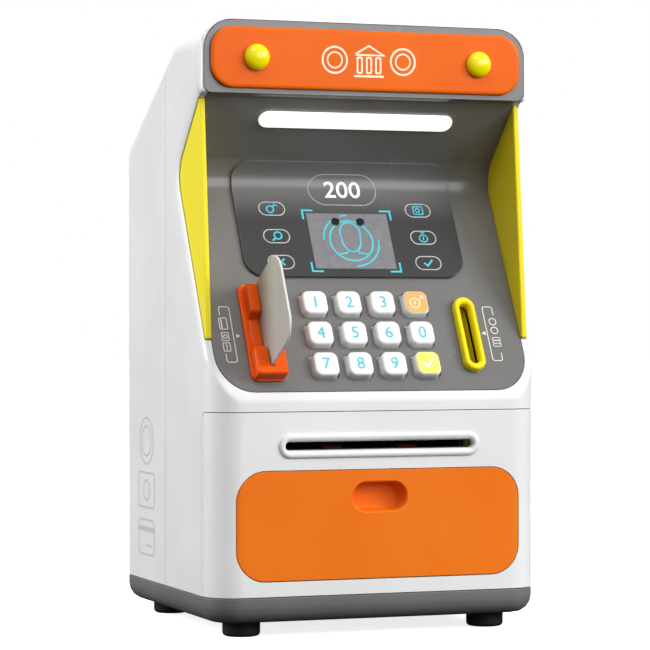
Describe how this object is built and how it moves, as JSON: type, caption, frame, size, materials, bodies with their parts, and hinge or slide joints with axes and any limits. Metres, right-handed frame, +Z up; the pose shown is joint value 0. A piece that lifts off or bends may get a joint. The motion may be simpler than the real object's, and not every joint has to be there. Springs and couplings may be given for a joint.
{
  "type": "toy cash machine savings bank",
  "caption": "Desktop toy cash machine that saves money: tilted keypad under a lit hood, card reader, coin slot, motor-fed note slot and a pull-out cash drawer on rubber feet.",
  "frame": {"origin": "centre of the footprint's bounding box, card included, on the plane the feet rest on", "axes": "+Z up, front with the keypad towards -Y, +X to the right seen from the front"},
  "size_m": [0.14, 0.1414, 0.245],
  "materials": {
    "white_shell": "satin white",
    "plate_grey": "glossy mid grey",
    "banner_orange": "satin orange",
    "lamp_yellow": "glossy yellow",
    "light_diffuser": "frosted white",
    "screen_dark": "polished dark grey",
    "sensor_black": "polished black",
    "wing_yellow": "satin yellow",
    "key_white": "satin white",
    "key_cream": "satin orange cream",
    "key_yellow": "satin pale yellow",
    "mat_rubber": "grey silicone",
    "circuit": "green coated board",
    "reader_orange": "satin orange red",
    "card_white": "white card",
    "coin_yellow": "satin yellow",
    "inner_plastic": "unpainted grey white",
    "drawer_orange": "satin orange",
    "base_grey": "fine-grain dark grey",
    "foot_rubber": "matt black rubber",
    "steel": "plain steel",
    "gear_white": "white acetal",
    "roller_rubber": "red-brown rubber",
    "pinch_rubber": "black rubber",
    "motor_can": "plated can",
    "battery_wrap": "printed metal wrap",
    "black_plastic": "matt black"
  },
  "bodies": {
    "housing": {"rear_shell": "white_shell", "front_shell": "white_shell", "lower_front": "white_shell", "face_plate": "plate_grey", "banner": "banner_orange", "lamp_left": "lamp_yellow", "lamp_right": "lamp_yellow", "light_bar": "light_diffuser", "screen_window": "screen_dark", "sensor_left": "sensor_black", "sensor_right": "sensor_black", "wing_left": "wing_yellow", "wing_right": "wing_yellow", "keypad_mat": "mat_rubber", "circuit_board": "circuit", "card_reader": "reader_orange", "coin_slot_bezel": "coin_yellow", "coin_chute": "inner_plastic", "base_tray": "base_grey", "foot_front_left": "foot_rubber", "foot_front_right": "foot_rubber", "foot_rear_left": "foot_rubber", "foot_rear_right": "foot_rubber", "note_guide": "black_plastic", "feed_motor": "motor_can", "lock_frame": "black_plastic", "lock_solenoid": "black_plastic", "battery_cover": "white_shell", "battery_1": "battery_wrap", "battery_2": "battery_wrap", "battery_3": "battery_wrap", "speaker": "black_plastic", "housing_screw_low_left": "steel", "housing_screw_low_right": "steel", "housing_screw_high_left": "steel", "housing_screw_high_right": "steel"},
    "drawer": {"drawer_front": "drawer_orange", "drawer_tray": "drawer_orange"},
    "card": {"bank_card": "card_white"},
    "bolt": {"lock_bolt": "steel"},
    "feed": {"feed_shaft": "steel", "feed_gear": "gear_white", "feed_roller_left": "roller_rubber", "feed_roller_right": "roller_rubber"},
    "pinion": {"motor_pinion": "gear_white"},
    "pinch": {"pinch_roller": "pinch_rubber"},
    "switch": {"power_switch": "black_plastic"},
    "key_1": {"key_1": "key_white"},
    "key_2": {"key_2": "key_white"},
    "key_3": {"key_3": "key_white"},
    "key_coin": {"key_coin": "key_cream"},
    "key_4": {"key_4": "key_white"},
    "key_5": {"key_5": "key_white"},
    "key_6": {"key_6": "key_white"},
    "key_0": {"key_0": "key_white"},
    "key_7": {"key_7": "key_white"},
    "key_8": {"key_8": "key_white"},
    "key_9": {"key_9": "key_white"},
    "key_enter": {"key_enter": "key_yellow"}
  },
  "joints": [
    {"name": "drawer_slide", "type": "slide", "parent": "housing", "child": "drawer", "axis": [0, -1, 0], "range_m": [0, 0.07]},
    {"name": "card_slide", "type": "slide", "parent": "housing", "child": "card", "axis": [0, -0.8817, 0.4718], "range_m": [0, 0.012]},
    {"name": "lock_bolt_slide", "type": "slide", "parent": "housing", "child": "bolt", "axis": [0, 0, -1], "range_m": [0, 0.008]},
    {"name": "feed_spin", "type": "hinge", "parent": "housing", "child": "feed", "pos_m": [0, -0.03532, 0.06955], "axis": [1, 0, 0], "continuous": true},
    {"name": "pinion_spin", "type": "hinge", "parent": "housing", "child": "pinion", "pos_m": [-0.0425, -0.02461, 0.07283], "axis": [1, 0, 0], "continuous": true},
    {"name": "pinch_spin", "type": "hinge", "parent": "housing", "child": "pinch", "pos_m": [0, -0.03532, 0.08025], "axis": [1, 0, 0], "continuous": true},
    {"name": "power_switch_slide", "type": "slide", "parent": "housing", "child": "switch", "axis": [1, 0, 0], "range_m": [0, 0.006]},
    {"name": "key_1_press", "type": "slide", "parent": "housing", "child": "key_1", "axis": [0, 0.8817, -0.4718], "range_m": [0, 0.0014], "stiffness_N_per_m": 400},
    {"name": "key_2_press", "type": "slide", "parent": "housing", "child": "key_2", "axis": [0, 0.8817, -0.4718], "range_m": [0, 0.0014], "stiffness_N_per_m": 400},
    {"name": "key_3_press", "type": "slide", "parent": "housing", "child": "key_3", "axis": [0, 0.8817, -0.4718], "range_m": [0, 0.0014], "stiffness_N_per_m": 400},
    {"name": "key_coin_press", "type": "slide", "parent": "housing", "child": "key_coin", "axis": [0, 0.8817, -0.4718], "range_m": [0, 0.0014], "stiffness_N_per_m": 400},
    {"name": "key_4_press", "type": "slide", "parent": "housing", "child": "key_4", "axis": [0, 0.8817, -0.4718], "range_m": [0, 0.0014], "stiffness_N_per_m": 400},
    {"name": "key_5_press", "type": "slide", "parent": "housing", "child": "key_5", "axis": [0, 0.8817, -0.4718], "range_m": [0, 0.0014], "stiffness_N_per_m": 400},
    {"name": "key_6_press", "type": "slide", "parent": "housing", "child": "key_6", "axis": [0, 0.8817, -0.4718], "range_m": [0, 0.0014], "stiffness_N_per_m": 400},
    {"name": "key_0_press", "type": "slide", "parent": "housing", "child": "key_0", "axis": [0, 0.8817, -0.4718], "range_m": [0, 0.0014], "stiffness_N_per_m": 400},
    {"name": "key_7_press", "type": "slide", "parent": "housing", "child": "key_7", "axis": [0, 0.8817, -0.4718], "range_m": [0, 0.0014], "stiffness_N_per_m": 400},
    {"name": "key_8_press", "type": "slide", "parent": "housing", "child": "key_8", "axis": [0, 0.8817, -0.4718], "range_m": [0, 0.0014], "stiffness_N_per_m": 400},
    {"name": "key_9_press", "type": "slide", "parent": "housing", "child": "key_9", "axis": [0, 0.8817, -0.4718], "range_m": [0, 0.0014], "stiffness_N_per_m": 400},
    {"name": "key_enter_press", "type": "slide", "parent": "housing", "child": "key_enter", "axis": [0, 0.8817, -0.4718], "range_m": [0, 0.0014], "stiffness_N_per_m": 400}
  ],
  "couplings": [
    {"joint": "pinion_spin", "follows": "feed_spin", "ratio": -3},
    {"joint": "pinch_spin", "follows": "feed_spin", "ratio": -1.0833}
  ]
}
